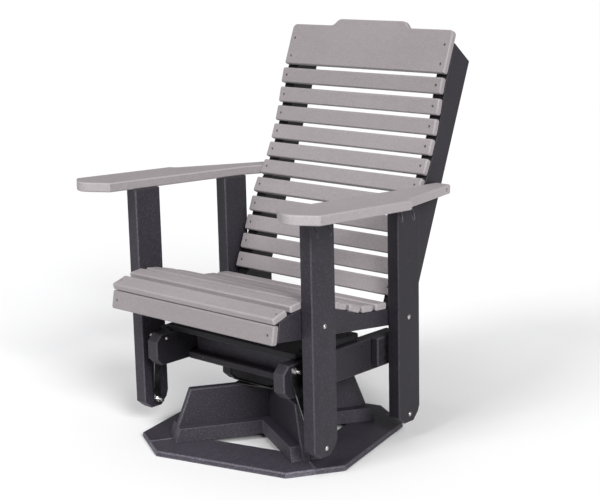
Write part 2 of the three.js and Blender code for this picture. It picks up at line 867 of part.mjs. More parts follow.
// Stand the chair on Z = 0 with its box centred on the origin
chair.updateMatrixWorld(true);
const box = new THREE.Box3().setFromObject(chair, true);
chair.position.set(
  -(box.min.x + box.max.x) / 2,
  -(box.min.y + box.max.y) / 2,
  -box.min.z);
const swivelGlider = new THREE.Group();
swivelGlider.add(chair);

export default swivelGlider;
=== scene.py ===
"""Swivel glider: an outdoor armchair of plastic lumber on swinging steel straps.

Every board starts as a copy of its solid. Its edges are rounded, its screws are let
in, and it gets the finish of moulded plastic lumber, which follows the board's own
length. Bolts, nuts and screws are built by node trees and set on their places.
"""

import json
import math
import random

import bmesh
import bpy
from mathutils import Matrix, Vector

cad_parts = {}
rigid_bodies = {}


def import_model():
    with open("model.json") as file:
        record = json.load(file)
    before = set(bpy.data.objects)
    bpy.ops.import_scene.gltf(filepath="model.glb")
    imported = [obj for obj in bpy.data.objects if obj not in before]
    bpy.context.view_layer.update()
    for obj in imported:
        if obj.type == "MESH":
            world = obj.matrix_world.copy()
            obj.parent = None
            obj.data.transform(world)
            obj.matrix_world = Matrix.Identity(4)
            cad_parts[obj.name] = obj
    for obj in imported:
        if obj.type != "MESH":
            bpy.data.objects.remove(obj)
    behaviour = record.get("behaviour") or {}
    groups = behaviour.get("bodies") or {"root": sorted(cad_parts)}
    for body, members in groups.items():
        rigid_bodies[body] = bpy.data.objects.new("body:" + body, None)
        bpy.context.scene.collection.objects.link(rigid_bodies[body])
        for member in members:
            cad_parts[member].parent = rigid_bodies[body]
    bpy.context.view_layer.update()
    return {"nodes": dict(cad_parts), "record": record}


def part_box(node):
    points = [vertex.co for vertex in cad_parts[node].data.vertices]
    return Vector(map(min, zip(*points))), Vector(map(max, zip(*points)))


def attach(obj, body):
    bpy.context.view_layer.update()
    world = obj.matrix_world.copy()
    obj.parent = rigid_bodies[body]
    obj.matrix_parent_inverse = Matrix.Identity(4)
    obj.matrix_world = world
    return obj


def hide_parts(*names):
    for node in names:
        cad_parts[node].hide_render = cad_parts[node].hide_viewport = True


MM = 0.001
SIDES = (-1, 1)  # left and right

# The chair's own zero, in the frame: on its middle, at the front of the front legs
# and as high as the lower pivots

CHAIR = Vector((0.0, -0.288881, 0.0776))

# Sizes of the chair that its bolts and screws are set out by, in millimetres

PLANK_THICK = 38.1
PLANK_WIDE = 88.9
STRAP_THICK = 3.5
STRAP_PLAY = 0.6  # between a strap, its board and its washer
LEG_INNER = 298.45
LEG_OUTER = LEG_INNER + PLANK_THICK
LEG_PITCH = 338.3  # from the front legs to the rear ones
CRADLE_OUTER = 255.2
CRADLE_INNER = CRADLE_OUTER - PLANK_THICK
CRADLE_MIDDLE = (LEG_PITCH + PLANK_WIDE) / 2
PIVOT_REACH = 197.6  # of the upper pivots, from the cradle's middle
PIVOT_HIGH = 195.7

# Bolts, front and rear: how far back each one is, and how high. The straps hang on the
# pivots, and the seat bolts hold the legs to the rails and the posts

UPPER_PIVOTS = [
    (CRADLE_MIDDLE - PIVOT_REACH, PIVOT_HIGH),
    (CRADLE_MIDDLE + PIVOT_REACH, PIVOT_HIGH),
]
LOWER_PIVOTS = [(PLANK_WIDE / 2, 0.0), (LEG_PITCH + PLANK_WIDE / 2, 0.0)]
SEAT_BOLTS = [(PLANK_WIDE * 0.513, 318.8), (LEG_PITCH + 42.67, 270.7)]

# Screws, in millimetres

SEAT_SCREW_INSET = 12.0  # from a slat's end
BACK_SCREW_INSET = 18.5
CREST_SCREW_X = 273.5
CREST_SCREWS_UP = (23.8, 77.7)  # from the crest's foot, along its face
APRON_SCREW_X = 279.0
LEDGER_SCREW_X = 160.0
DECK_SCREW_X = 226.0
DECK_SCREW_SHARES = (0.25, 0.75)  # of a board's width
CRADLE_SCREWS_Y = (147.0, 280.0)  # through the rails, into the cross panels
CRADLE_SCREWS_Z = (143.5, 197.7)
STOP_SCREWS_Z = (151.0, 187.0)
DRILL_RADIUS = 4.0  # at its outer end
DRILL_TAPER = 0.86  # its inner end's radius, against the outer one's
HOLE_DEPTH = 3.6
HEAD_SINK = 2.0  # of a head's top, below the board's face
CREASE = math.radians(40)  # edges of fasteners sharper than this stay sharp

# Boards

JOIN = 1e-6  # metres; points nearer than this become one
BOLT_MARGIN = 0.02 * MM  # what stands out further than this is a bolt
FLAT = math.radians(0.6)  # faces at a smaller angle become one
SHARP = math.radians(26)  # edges sharper than this are rounded
APRON_LEAN = math.radians(10.3)
APRON_LIFT = 1.6 * MM  # so that no light shows under the front slat
RIM_WIDE = 3.4 * MM  # faces narrower than this are rounded edges
END_FACING = 0.45  # least share of a sawn end's normal that runs along the board
BROAD_BEND = 0.8  # least cosine between a broad face and those it is shaded with
ROUND_BEND = 0.3  # the same for a rounded edge's face
PATTERN_SHIFT = 20  # metres at most, so that no two boards show the same stretch
CHANCE_SHADES = (0.96, 1.04)  # between which a board's own shade is drawn

# Painted light and shade on single faces, against their board's brightness: painted shade
# on the posts behind the slats and on the legs' edges under the arms, and on the lips of
# the legs' pocket holes a pale burr with a painted highlight

POST_PAINTED_SHADE = 0.45
SQUARE_ON = 0.9  # least share of a normal along the axis that its face looks along
POCKET_REACH = 60 * MM  # how far below a leg's top its pocket holes end
POCKET_LIP_HIGHLIGHT = 8.0
LIP_INSIDE = 3 * MM  # least distance of a hole's lip from the leg's own edges
LIP_DEEP = 1.2 * MM  # from the leg's outer face
UNDER_ARM_PAINTED_SHADE = 0.4
UNDER_ARM_REACH = 8 * MM  # below a leg's top

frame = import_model()
nodes = frame["nodes"]


def at(x, y, z):
    """A point of the chair, given in its own millimetres."""
    return CHAIR + Vector((x, y, z)) * MM


# Node trees


class Value:
    """A socket's value, with the arithmetic that the finishes need."""

    def __init__(self, tree, socket):
        self.tree = tree
        self.socket = socket

    def _maths(self, operation, first, second):
        return self.tree.node("ShaderNodeMath", {"operation": operation}, [first, second])

    def __add__(self, other):
        return self._maths("ADD", self, other)

    __radd__ = __add__

    def __sub__(self, other):
        return self._maths("SUBTRACT", self, other)

    def __rsub__(self, other):
        return self._maths("SUBTRACT", other, self)

    def __mul__(self, other):
        return self._maths("MULTIPLY", self, other)

    __rmul__ = __mul__

    def __truediv__(self, other):
        return self._maths("DIVIDE", self, other)

    def __rtruediv__(self, other):
        return self._maths("DIVIDE", other, self)

    def __pow__(self, other):
        return self._maths("POWER", self, other)

    def at_most(self, level):
        return self._maths("MINIMUM", self, level)

    def at_least(self, level):
        return self._maths("MAXIMUM", self, level)

    def as_share(self):
        """The value, kept between nothing and the whole."""
        return self.at_least(0.0).at_most(1.0)


class Tree:
    """A node tree that is written as expressions."""

    def __init__(self, tree):
        self.tree = tree

    def node(self, kind, settings=None, inputs=None, output=0):
        """Adds a node: its settings first, then the values or links of its sockets."""
        made = self.tree.nodes.new(kind)
        for name, value in (settings or {}).items():
            setattr(made, name, value)
        pairs = inputs.items() if isinstance(inputs, dict) else enumerate(inputs or [])
        for key, value in pairs:
            socket = made.inputs[key]
            for part in value if isinstance(value, list) else [value]:
                if isinstance(part, Value):
                    self.tree.links.new(part.socket, socket)
                else:
                    socket.default_value = part
        return Value(self, made.outputs[output])

    def mix(self, factor, first, second):
        """A colour between two others."""
        settings = {"data_type": "RGBA", "blend_type": "MIX"}
        inputs = {0: factor, 6: first, 7: second}
        return self.node("ShaderNodeMix", settings, inputs, 2)

    def scaled(self, vector, scale):
        settings = {"operation": "MULTIPLY"}
        return self.node("ShaderNodeVectorMath", settings, [vector, scale])

    def noise(self, vector, scale, detail=2.0, roughness=0.5):
        inputs = {"Vector": vector, "Scale": scale, "Detail": detail, "Roughness": roughness}
        return self.node("ShaderNodeTexNoise", {}, inputs, "Fac")


class Finish(Tree):
    """A material round one Principled shader."""

    def __init__(self, name, **values):
        self.material = bpy.data.materials.new(name)
        self.material.use_nodes = True
        super().__init__(self.material.node_tree)
        self.tree.nodes.clear()
        self.shader = self.tree.nodes.new("ShaderNodeBsdfPrincipled")
        out = self.tree.nodes.new("ShaderNodeOutputMaterial")
        self.tree.links.new(self.shader.outputs[0], out.inputs["Surface"])
        self.set(**values)

    def set(self, **values):
        for name, value in values.items():
            socket = self.shader.inputs[name.replace("_", " ")]
            if isinstance(value, Value):
                self.tree.links.new(value.socket, socket)
            else:
                socket.default_value = value

    def attribute(self, name, output):
        return self.node("ShaderNodeAttribute", {"attribute_name": name}, output=output)

    def bump(self, height, strength, distance):
        inputs = {"Strength": strength, "Distance": distance, "Height": height}
        return self.node("ShaderNodeBump", {}, inputs)


def lumber(name, pale, deep, fleck, speckle, worn, roughness, gloss):
    """Moulded plastic lumber. Its pattern runs along the board by the attribute
    "grain"; "rim" marks the rounded edges, "cut" the sawn ends and "tone" the board's
    brightness: its own shade, with painted light and shade on the board and on its faces."""
    finish = Finish(name)
    grain = finish.attribute("grain", "Vector")
    rim = finish.attribute("rim", "Fac")
    cut = finish.attribute("cut", "Fac")
    tone = finish.attribute("tone", "Vector")

    def pattern(cells, detail, rough=0.5):
        """Noise with so many cells to the metre along the board, across and through."""
        return finish.noise(finish.scaled(grain, cells), 1.0, detail, rough)

    drift = pattern((5.0, 12.0, 12.0), 2.0)
    cloud = pattern((40.0, 60.0, 60.0), 3.0, 0.6)
    peel = pattern((190.0, 230.0, 230.0), 3.0, 0.6)
    dust = pattern((1300.0, 1500.0, 1500.0), 1.0)

    # The plastic's own colour drifts from deep to pale, with pale specks and dark pits
    shade = drift * 0.55 + cloud * 0.45
    spread = ((shade - 0.34) * 3.0).as_share()
    colour = finish.mix(spread, (*deep, 1.0), (*pale, 1.0))
    specks = ((peel - 0.52) * 6.0 + (dust - 0.5) * 2.5).as_share()
    colour = finish.mix(specks * speckle, colour, (*fleck, 1.0))
    pits = ((0.45 - peel) * 9.0).as_share()
    colour = finish.mix(pits * speckle * 0.8, colour, (*[c * 0.7 for c in deep], 1.0))

    # Sawn ends show the blade's fine marks and are a little paler. The rounded edges are
    # paler too: partly rubbed wear, partly a painted highlight along them
    marks = pattern((900.0, 40.0, 1300.0), 2.0)
    edge_pattern = (marks * 0.5 + peel * 0.5 - 0.4) * 4.0
    rubbed_and_highlit = (rim * 0.6 + cut * 0.5) * edge_pattern.at_least(0.35).at_most(1.0)
    colour = finish.mix((rubbed_and_highlit * worn).at_most(0.85), colour, (*fleck, 1.0))

    relief = peel * 0.75 + dust * 0.2 + cut * marks * 0.6
    # The tone scales the colour by the board's own shade and by painted light and shade
    finish.set(
        Base_Color=finish.scaled(colour, tone),
        Roughness=(roughness + (peel - 0.5) * 0.25 + cut * 0.08).at_most(0.95),
        Normal=finish.bump(relief, 0.4, 0.8 * MM),
        Specular_IOR_Level=gloss,
    )
    return finish.material


def metal(name, colour, roughness, scratch, worn=0.0):
    """Bare or plated steel with faint drawing lines, darker where it is grimy."""
    finish = Finish(name, Metallic=1.0)
    place = finish.node("ShaderNodeTexCoord", output="Object")
    grime = finish.noise(place, 60.0, 4.0, 0.6)
    lines = finish.noise(finish.scaled(place, (900.0, 900.0, 70.0)), 1.0, 2.0)
    clean = ((grime - 0.35) * 2.6).as_share()
    dark = tuple(c * (0.62 - worn) for c in colour)
    uneven = roughness + (grime - 0.5) * 0.25 + (lines - 0.5) * scratch
    finish.set(
        Base_Color=finish.mix(clean, (*dark, 1.0), (*colour, 1.0)),
        Roughness=uneven.at_least(0.08),
        Normal=finish.bump(lines * 0.6 + grime * 0.4, 0.12, 0.2 * MM),
    )
    return finish.material


light_lumber = lumber(
    "light_lumber",
    pale=(0.290, 0.263, 0.272),
    deep=(0.262, 0.238, 0.247),
    fleck=(0.366, 0.344, 0.348),
    speckle=0.33,
    # how much paler the edges and ends are: wear, and a painted highlight on the edges
    worn=0.6,
    roughness=0.58,
    gloss=0.4,
)
dark_lumber = lumber(
    "dark_lumber",
    pale=(0.0232, 0.0207, 0.0273),
    deep=(0.0179, 0.0158, 0.0211),
    fleck=(0.098, 0.091, 0.110),
    speckle=0.26,
    # how much paler the edges and ends are: wear, and a painted highlight on the edges
    worn=0.95,
    roughness=0.52,
    gloss=0.3,
)
stainless = metal("stainless", (0.74, 0.73, 0.71), 0.26, 0.2)
screw_steel = metal("screw_steel", (0.36, 0.35, 0.34), 0.38, 0.2, 0.1)
strap_steel = metal("strap_steel", (0.23, 0.23, 0.24), 0.34, 0.3, 0.1)
bearing_steel = metal("bearing_steel", (0.16, 0.16, 0.16), 0.42, 0.3, 0.12)


# Screws: where each one goes in, and which way its head faces


def screw_places():
    """Node name to a list of (point on the surface, way that the head faces)."""
    places = {}
    ahead = Vector((0, -1, 0))
    ahead_and_up = Vector((0, -1, 0.35))

    def add(node, point, facing):
        places.setdefault(node, []).append((point, Vector(facing).normalized()))

    def on_top(node, x, towards):
        """The middle of a slat's broad face, near the end at x."""
        up = broad_normal(node, towards)
        low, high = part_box(node)
        middle = (low + high) / 2
        reach = max((vertex.co - middle).dot(up) for vertex in nodes[node].data.vertices)
        point = middle + up * reach
        point.x = x
        add(node, point, up)

    for node in sorted(nodes):
        low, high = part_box(node)
        middle = (low + high) / 2
        if node.startswith("seat_slat_"):
            for side in SIDES:
                on_top(node, side * (high.x - SEAT_SCREW_INSET * MM), Vector((0, 0, 1)))
        elif node.startswith("back_slat_"):
            for side in SIDES:
                on_top(node, side * (high.x - BACK_SCREW_INSET * MM), ahead_and_up)
        elif node == "crest":
            up = broad_normal(node, ahead_and_up)
            along = up.cross(Vector((1, 0, 0)))
            along = along if along.z > 0 else -along
            foot = min(vertex.co.dot(along) for vertex in nodes[node].data.vertices)
            front = max(vertex.co.dot(up) for vertex in nodes[node].data.vertices)
            for side in SIDES:
                for height in CREST_SCREWS_UP:
                    point = up * front + along * (foot + height * MM)
                    point.x = side * CREST_SCREW_X * MM
                    add(node, point, up)
        elif node == "apron":
            for side in SIDES:
                on_top(node, side * APRON_SCREW_X * MM, ahead)
        elif node == "cradle_ledger":
            for side in SIDES:
                add(node, Vector((side * LEDGER_SCREW_X * MM, low.y, middle.z)), ahead)
        elif node.startswith("deck_board_"):
            for side in SIDES:
                for share in DECK_SCREW_SHARES:
                    y = low.y + (high.y - low.y) * share
                    point = Vector((side * DECK_SCREW_X * MM, y, high.z))
                    add(node, point, (0, 0, 1))
        elif node.startswith("cradle_rail_"):
            side = side_of(node)
            for y in CRADLE_SCREWS_Y:
                for z in CRADLE_SCREWS_Z:
                    add(node, at(side * CRADLE_OUTER, y, z), (side, 0, 0))
        elif node.startswith("stop_block_"):
            side = side_of(node)
            face = high.x if side > 0 else low.x
            for z in STOP_SCREWS_Z:
                add(node, Vector((face, middle.y, at(0, 0, z).z)), (side, 0, 0))
    return places


def side_of(node):
    """Which of the two sides a node is on, by its name."""
    return -1 if node.endswith("left") else 1


def broad_normal(node, towards):
    """The normal of a slat's broad face on the side that "towards" gives."""
    facing = [face for face in nodes[node].data.polygons if face.normal.dot(towards) > 0.5]
    return max(facing, key=lambda face: face.area).normal.copy()


# Boards


def cleaned(node):
    """A copy of a solid as a bmesh: joined, without its bolts, its flat faces whole."""
    mesh = bmesh.new()
    mesh.from_mesh(nodes[node].data)
    bmesh.ops.remove_doubles(mesh, verts=mesh.verts, dist=JOIN)
    if node.startswith("leg_"):
        take_bolts_off(mesh, LEG_INNER, LEG_OUTER)
    elif node.startswith("cradle_rail_"):
        take_bolts_off(mesh, CRADLE_INNER, CRADLE_OUTER)
    bmesh.ops.dissolve_limit(mesh, angle_limit=FLAT, verts=mesh.verts, edges=mesh.edges)
    if node == "apron":
        raise_top(mesh, node)
    return mesh


def take_bolts_off(mesh, inner, outer):
    """Cuts a board down to what lies between its two faces, and closes these."""
    low, high = inner * MM - BOLT_MARGIN, outer * MM + BOLT_MARGIN
    beyond = [vertex for vertex in mesh.verts if not low < abs(vertex.co.x) < high]
    bmesh.ops.delete(mesh, geom=beyond, context="VERTS")
    rims = [edge for edge in mesh.edges if edge.is_boundary]
    bmesh.ops.holes_fill(mesh, edges=rims)
    bmesh.ops.recalc_face_normals(mesh, faces=mesh.faces)


def raise_top(mesh, node):
    """Lengthens the apron upwards, along its lean."""
    low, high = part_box(node)
    lift = Vector((0, math.sin(APRON_LEAN), math.cos(APRON_LEAN))) * APRON_LIFT
    for vertex in mesh.verts:
        if vertex.co.z > (low.z + high.z) / 2:
            vertex.co += lift


def drills(places):
    """One mesh of the holes that the screws' heads sit in."""
    mesh = bmesh.new()
    for point, facing in places:
        turn = facing.to_track_quat("Z", "Y").to_matrix().to_4x4()
        bmesh.ops.create_cone(
            mesh,
            cap_ends=True,
            segments=20,
            radius1=DRILL_RADIUS * MM * DRILL_TAPER,
            radius2=DRILL_RADIUS * MM,
            depth=2 * HOLE_DEPTH * MM,
            matrix=Matrix.Translation(point) @ turn,
        )
    return mesh


def made_object(name, mesh):
    """An object of the scene, from a mesh or from a bmesh that isn't needed after."""
    if isinstance(mesh, bmesh.types.BMesh):
        data = bpy.data.meshes.new(name)
        mesh.to_mesh(data)
        mesh.free()
        mesh = data
    made = bpy.data.objects.new(name, mesh)
    bpy.context.scene.collection.objects.link(made)
    return made


def settle(made):
    """Turns what the modifiers show into the object's own mesh."""
    graph = bpy.context.evaluated_depsgraph_get()
    mesh = bpy.data.meshes.new_from_object(made.evaluated_get(graph))
    old = made.data
    made.modifiers.clear()
    made.data = mesh
    mesh.name = made.name
    if old.users == 0:
        bpy.data.meshes.remove(old)


# A board's brightness against the colour of its kind, partly its own tone and partly
# painted light and shade: boards that lie in shadow, such as the deck boards and the
# swivel block, are painted darker, and those that the lamps reach too little, such as the
# ring's front, the cross panels and the foot cleats, are painted brighter; the first name
# that fits counts

BOARD_TONE_AND_PAINTED_LIGHT = {
    "apron": 0.91,
    "arm_left": 1.12,
    "arm_right": 1.2,
    "back_slat_11": 0.92,
    "crest": 0.95,
    "seat_slat_": 1.08,
    "back_post_": 0.9,
    "leg_front_left": 1.35,
    "leg_front_right": 1.07,
    "leg_rear_left": 1.12,
    "leg_rear_right": 0.75,
    "cradle_rail_": 0.8,
    "cradle_ledger": 0.95,
    "cradle_panel_": 2.2,
    "deck_board_": 0.35,
    "stop_block_": 0.85,
    "swivel_block": 0.15,
    "pedestal_web_": 1.25,
    "foot_cleat_front": 1.85,
    "foot_cleat_": 1.1,
    "ring_front": 2.2,
    "ring_": 1.5,
}


def span(mesh, pair):
    """The distance between two of a mesh's points."""
    first, second = (mesh.vertices[index].co for index in pair)
    return (first - second).length


def own_axes(mesh):
    """A board's directions: along, across and through."""
    longest = max(mesh.edges, key=lambda edge: span(mesh, edge.vertices))
    first, second = (mesh.vertices[index].co for index in longest.vertices)
    along = (second - first).normalized()
    broad = max(mesh.polygons, key=lambda face: face.area)
    through = (broad.normal - along * broad.normal.dot(along)).normalized()
    return along, through.cross(along), through


def mark_faces(mesh, along):
    """Writes the masks of a board's rounded edges and sawn ends."""
    rim = mesh.attributes.new("rim", "FLOAT", "FACE")
    cut = mesh.attributes.new("cut", "FLOAT", "FACE")
    rims, cuts = [], []
    for face in mesh.polygons:
        longest = max(span(mesh, pair) for pair in face.edge_keys)
        rims.append(1.0 if face.area < longest * RIM_WIDE else 0.0)
        cuts.append(1.0 if abs(face.normal.dot(along)) > END_FACING else 0.0)
    rim.data.foreach_set("value", rims)
    cut.data.foreach_set("value", cuts)


def rounded_faces(mesh):
    """For each face, whether it belongs to a rounded edge."""
    return [mark.value > 0.5 for mark in mesh.attributes["rim"].data]


def painted_face_light(mesh, node):
    """Each face's painted light and shade, against its board's brightness."""
    if node.startswith("back_post_"):
        return [POST_PAINTED_SHADE if in_painted_shade(face) else 1.0 for face in mesh.polygons]
    if node.startswith("leg_"):
        return leg_painted_light(mesh)
    return [1.0] * len(mesh.polygons)


def in_painted_shade(face):
    """Whether a post's face looks forwards or inwards, where slats keep the light off, so
    that it gets painted shade.
    """
    inwards = face.normal.x * face.center.x < 0 and abs(face.normal.x) > SQUARE_ON
    return inwards or face.normal.y < -SQUARE_ON


def leg_painted_light(mesh):
    """A leg's pocket holes get a pale burr with a painted highlight on their lips, and its
    rounded edges under the arm get painted shade.
    """
    rounded = rounded_faces(mesh)
    front = min(vertex.co.y for vertex in mesh.vertices)
    back = max(vertex.co.y for vertex in mesh.vertices)
    top = max(vertex.co.z for vertex in mesh.vertices)
    painted_light_and_shade = [1.0] * len(mesh.polygons)
    for face in mesh.polygons:
        middle = face.center
        inside = min(middle.y - front, back - middle.y) > LIP_INSIDE
        high = top - POCKET_REACH < middle.z < top - LIP_INSIDE
        at_face = abs(abs(middle.x) - LEG_OUTER * MM) < LIP_DEEP
        if rounded[face.index] and inside and high and at_face:
            painted_light_and_shade[face.index] = POCKET_LIP_HIGHLIGHT
        elif rounded[face.index] and middle.z > top - UNDER_ARM_REACH:
            painted_light_and_shade[face.index] = UNDER_ARM_PAINTED_SHADE
    return painted_light_and_shade


def mark_points(mesh, axes, level, seed, painted_light_and_shade):
    """Writes each point's place in its board, and each face's brightness: the board's own
    shade drawn at random, times its painted light and shade.
    """
    chance = random.Random(seed)
    shift = [chance.uniform(-PATTERN_SHIFT, PATTERN_SHIFT) for _ in axes]
    grain = mesh.attributes.new("grain", "FLOAT_VECTOR", "POINT")
    places = [v.co.dot(axis) + move for v in mesh.vertices for axis, move in zip(axes, shift)]
    grain.data.foreach_set("vector", places)
    level *= chance.uniform(*CHANCE_SHADES)
    tone = mesh.attributes.new("tone", "FLOAT_VECTOR", "FACE")
    tone.data.foreach_set("vector", [level * shade for shade in painted_light_and_shade for _ in range(3)])


def harden(mesh):
    """Keeps broad faces flat in the light and lets the narrow ones bend round between."""
    rounded = rounded_faces(mesh)
    broad = {}
    for face in mesh.polygons:
        if not rounded[face.index]:
            for vertex in face.vertices:
                broad.setdefault(vertex, []).append(face.normal * face.area)
    normals = []
    for face in mesh.polygons:
        least = ROUND_BEND if rounded[face.index] else BROAD_BEND
        for vertex in face.vertices:
            ways = broad.get(vertex, [mesh.vertices[vertex].normal])
            near = [way for way in ways if way.normalized().dot(face.normal) > least]
            normals.append(sum(near or [face.normal], Vector()).normalized())
    mesh.normals_split_custom_set(normals)


def dressed(node, material, rounding, places, seed):
    """The finished piece that stands for a solid."""
    piece = made_object(f"{node}_piece", cleaned(node))
    ease = piece.modifiers.new("ease", "BEVEL")
    ease.width = rounding * MM
    ease.segments = 2
    ease.limit_method = "ANGLE"
    ease.angle_limit = SHARP
    piece.data.shade_smooth()
    settle(piece)
    axes = own_axes(piece.data)
    mark_faces(piece.data, axes[0])
    if places:
        holes = made_object("holes", drills(places))
        sink = piece.modifiers.new("sink", "BOOLEAN")
        sink.operation = "DIFFERENCE"
        sink.solver = "EXACT"
        sink.object = holes
        settle(piece)
        bpy.data.objects.remove(holes)
    # The board's tone, with the painted light and shade picked for it
    level = next((BOARD_TONE_AND_PAINTED_LIGHT[name] for name in BOARD_TONE_AND_PAINTED_LIGHT if node.startswith(name)), 1.0)
    mark_points(piece.data, axes, level, seed, painted_face_light(piece.data, node))
    harden(piece.data)
    piece.data.materials.clear()
    piece.data.materials.append(material)
    return piece


# How the nodes' names start, their finish, the rounding of their edges in millimetres
# and their slot; the first name that fits counts

LIGHT = ("apron", "crest", "arm_", "seat_slat_", "back_slat_")
KINDS = [
    ("strap_", strap_steel, 0.5, "steel"),
    ("bearing_", bearing_steel, 0.3, "steel"),
    (LIGHT, light_lumber, 1.3, "light_lumber"),
    ("", dark_lumber, 1.1, "dark_lumber"),
]

screws = screw_places()
body_of = {
    node: body
    for body, members in frame["record"]["behaviour"]["bodies"].items()
    for node in members
}

for number, node in enumerate(sorted(nodes)):
    material, rounding, slot = next(kind[1:] for kind in KINDS if node.startswith(kind[0]))
    piece = dressed(node, material, rounding, screws.get(node, ()), number)
    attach(piece, body_of[node])
    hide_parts(node)


# Screws and bolts by node tree


class Shape(Tree):
    """A tree of Geometry Nodes with named inputs."""

    def __init__(self, name, sizes):
        super().__init__(bpy.data.node_groups.new(name, "GeometryNodeTree"))
        face = self.tree.interface
        face.new_socket(name="Places", in_out="INPUT", socket_type="NodeSocketGeometry")
        self.ids = {}
        for size in sizes:
            kind = "NodeSocketInt" if size == "Seed" else "NodeSocketFloat"
            made = face.new_socket(name=size, in_out="INPUT", socket_type=kind)
            self.ids[size] = made.identifier
        made = face.new_socket(name="Finish", in_out="INPUT", socket_type="NodeSocketMaterial")
        self.ids["Finish"] = made.identifier
        face.new_socket(name="Result", in_out="OUTPUT", socket_type="NodeSocketGeometry")
        self.given = self.tree.nodes.new("NodeGroupInput")

    def input(self, name):
        return Value(self, self.given.outputs[name])

    def moved(self, geometry, z):
        offset = self.node("ShaderNodeCombineXYZ", {}, {"Z": z})
        inputs = {"Geometry": geometry, "Translation": offset}
        return self.node("GeometryNodeTransform", {}, inputs)

    def rod(self, sides, radius, depth):
        """A cylinder with its middle at Z = 0."""
        inputs = {"Vertices": sides, "Radius": radius, "Depth": depth}
        return self.node("GeometryNodeMeshCylinder", {}, inputs)

    def cone(self, sides, foot, top, depth):
        """A cone's stump that stands on Z = 0, by the radii of its foot and its top."""
        inputs = {"Vertices": sides, "Radius Top": top, "Radius Bottom": foot, "Depth": depth}
        return self.node("GeometryNodeMeshCone", {}, inputs)

    def combined(self, operation, parts):
        """What a union or an intersection makes of its parts."""
        return self.node("GeometryNodeMeshBoolean", {"operation": operation}, {"Mesh 2": parts})

    def less(self, geometry, cutter):
        """The geometry without what the cutter takes up."""
        inputs = {"Mesh 1": geometry, "Mesh 2": cutter}
        return self.node("GeometryNodeMeshBoolean", {"operation": "DIFFERENCE"}, inputs)

    def together(self, parts):
        return self.node("GeometryNodeJoinGeometry", {}, [parts])

    def set_out(self, geometry):
        """Sets the geometry on every place, facing the way that the place says."""
        named = {"data_type": "FLOAT_VECTOR"}
        facing = self.node("GeometryNodeInputNamedAttribute", named, {"Name": "facing"})
        turn = self.node("FunctionNodeAlignRotationToVector", {"axis": "Z"}, {"Vector": facing})
        around = {2: 0.0, 3: math.tau, "Seed": self.input("Seed")}
        spin = self.node("FunctionNodeRandomValue", {"data_type": "FLOAT"}, around, 1)
        spun = self.node("ShaderNodeCombineXYZ", {}, {"Z": spin})
        local = {"rotation_space": "LOCAL"}
        turn = self.node("FunctionNodeRotateRotation", local, [turn, spun])
        inputs = {"Points": self.input("Places"), "Instance": geometry, "Rotation": turn}
        placed = self.node("GeometryNodeInstanceOnPoints", {}, inputs)
        real = self.node("GeometryNodeRealizeInstances", {}, [placed])
        inputs = {"Geometry": real, "Material": self.input("Finish")}
        done = self.node("GeometryNodeSetMaterial", {}, inputs)
        out = self.tree.nodes.new("NodeGroupOutput")
        self.tree.links.new(done.socket, out.inputs[0])


def screw_tree():
    """A countersunk head with a square socket. Z = 0 is its top."""
    tree = Shape("screws", ["Head radius", "Head height", "Socket", "Seed"])
    radius = tree.input("Head radius")
    height = tree.input("Head height")
    wide = tree.input("Socket")

    # The lip laps over the cone's top, which is a little narrower and ends inside it
    cone = tree.cone(24, radius * 0.55, radius * 0.96, height * 0.94)
    lip = tree.moved(tree.rod(24, radius, height * 0.16), height * 0.92)

    size = tree.node("ShaderNodeCombineXYZ", {}, {"X": wide, "Y": wide, "Z": height * 1.3})
    square = tree.moved(tree.node("GeometryNodeMeshCube", {}, {"Size": size}), height)
    head = tree.less(tree.combined("UNION", [cone, lip]), square)
    tree.set_out(tree.moved(head, height * -1.0))
    return tree


def bolt_end_tree():
    """A washer, a hexagon nut and the thread that stands out of it. Z = 0 is the
    face that the washer lies on."""
    sizes = ["Bolt radius", "Nut radius", "Nut height", "Tail", "Washer", "Pitch", "Seed"]
    tree = Shape("bolt_ends", sizes)
    bolt = tree.input("Bolt radius")
    nut = tree.input("Nut radius")
    high = tree.input("Nut height")
    washer = tree.input("Washer")
    pitch = tree.input("Pitch")
    length = tree.input("Tail") + high
    ring = tree.moved(tree.rod(36, nut * 1.12, washer), washer * 0.5)

    # A wide cone takes the corners off the hexagon's outer end
    hexagon = tree.rod(6, nut, high)
    cone = tree.moved(tree.cone(48, nut * 1.9, nut * 0.84, high * 1.9), high * -1.37)
    body = tree.moved(tree.combined("INTERSECT", [hexagon, cone]), washer + high * 0.5)

    # The thread's turns stand out of the core and stop a little short of its end
    core = tree.moved(tree.rod(28, bolt * 0.9, length), washer + length * 0.5)
    turns = {
        "Resolution": 28,
        "Rotations": length / pitch * 0.94,
        "Start Radius": bolt * 0.92,
        "End Radius": bolt * 0.92,
        "Height": length * 0.94,
    }
    path = tree.node("GeometryNodeCurveSpiral", {}, turns)
    ridge = {"Resolution": 4, "Radius": pitch * 0.36}
    profile = tree.node("GeometryNodeCurvePrimitiveCircle", {}, ridge)
    inputs = {"Curve": path, "Profile Curve": profile, "Fill Caps": True}
    thread = tree.moved(tree.node("GeometryNodeCurveToMesh", {}, inputs), washer)
    tree.set_out(tree.together([ring, body, core, thread]))
    return tree


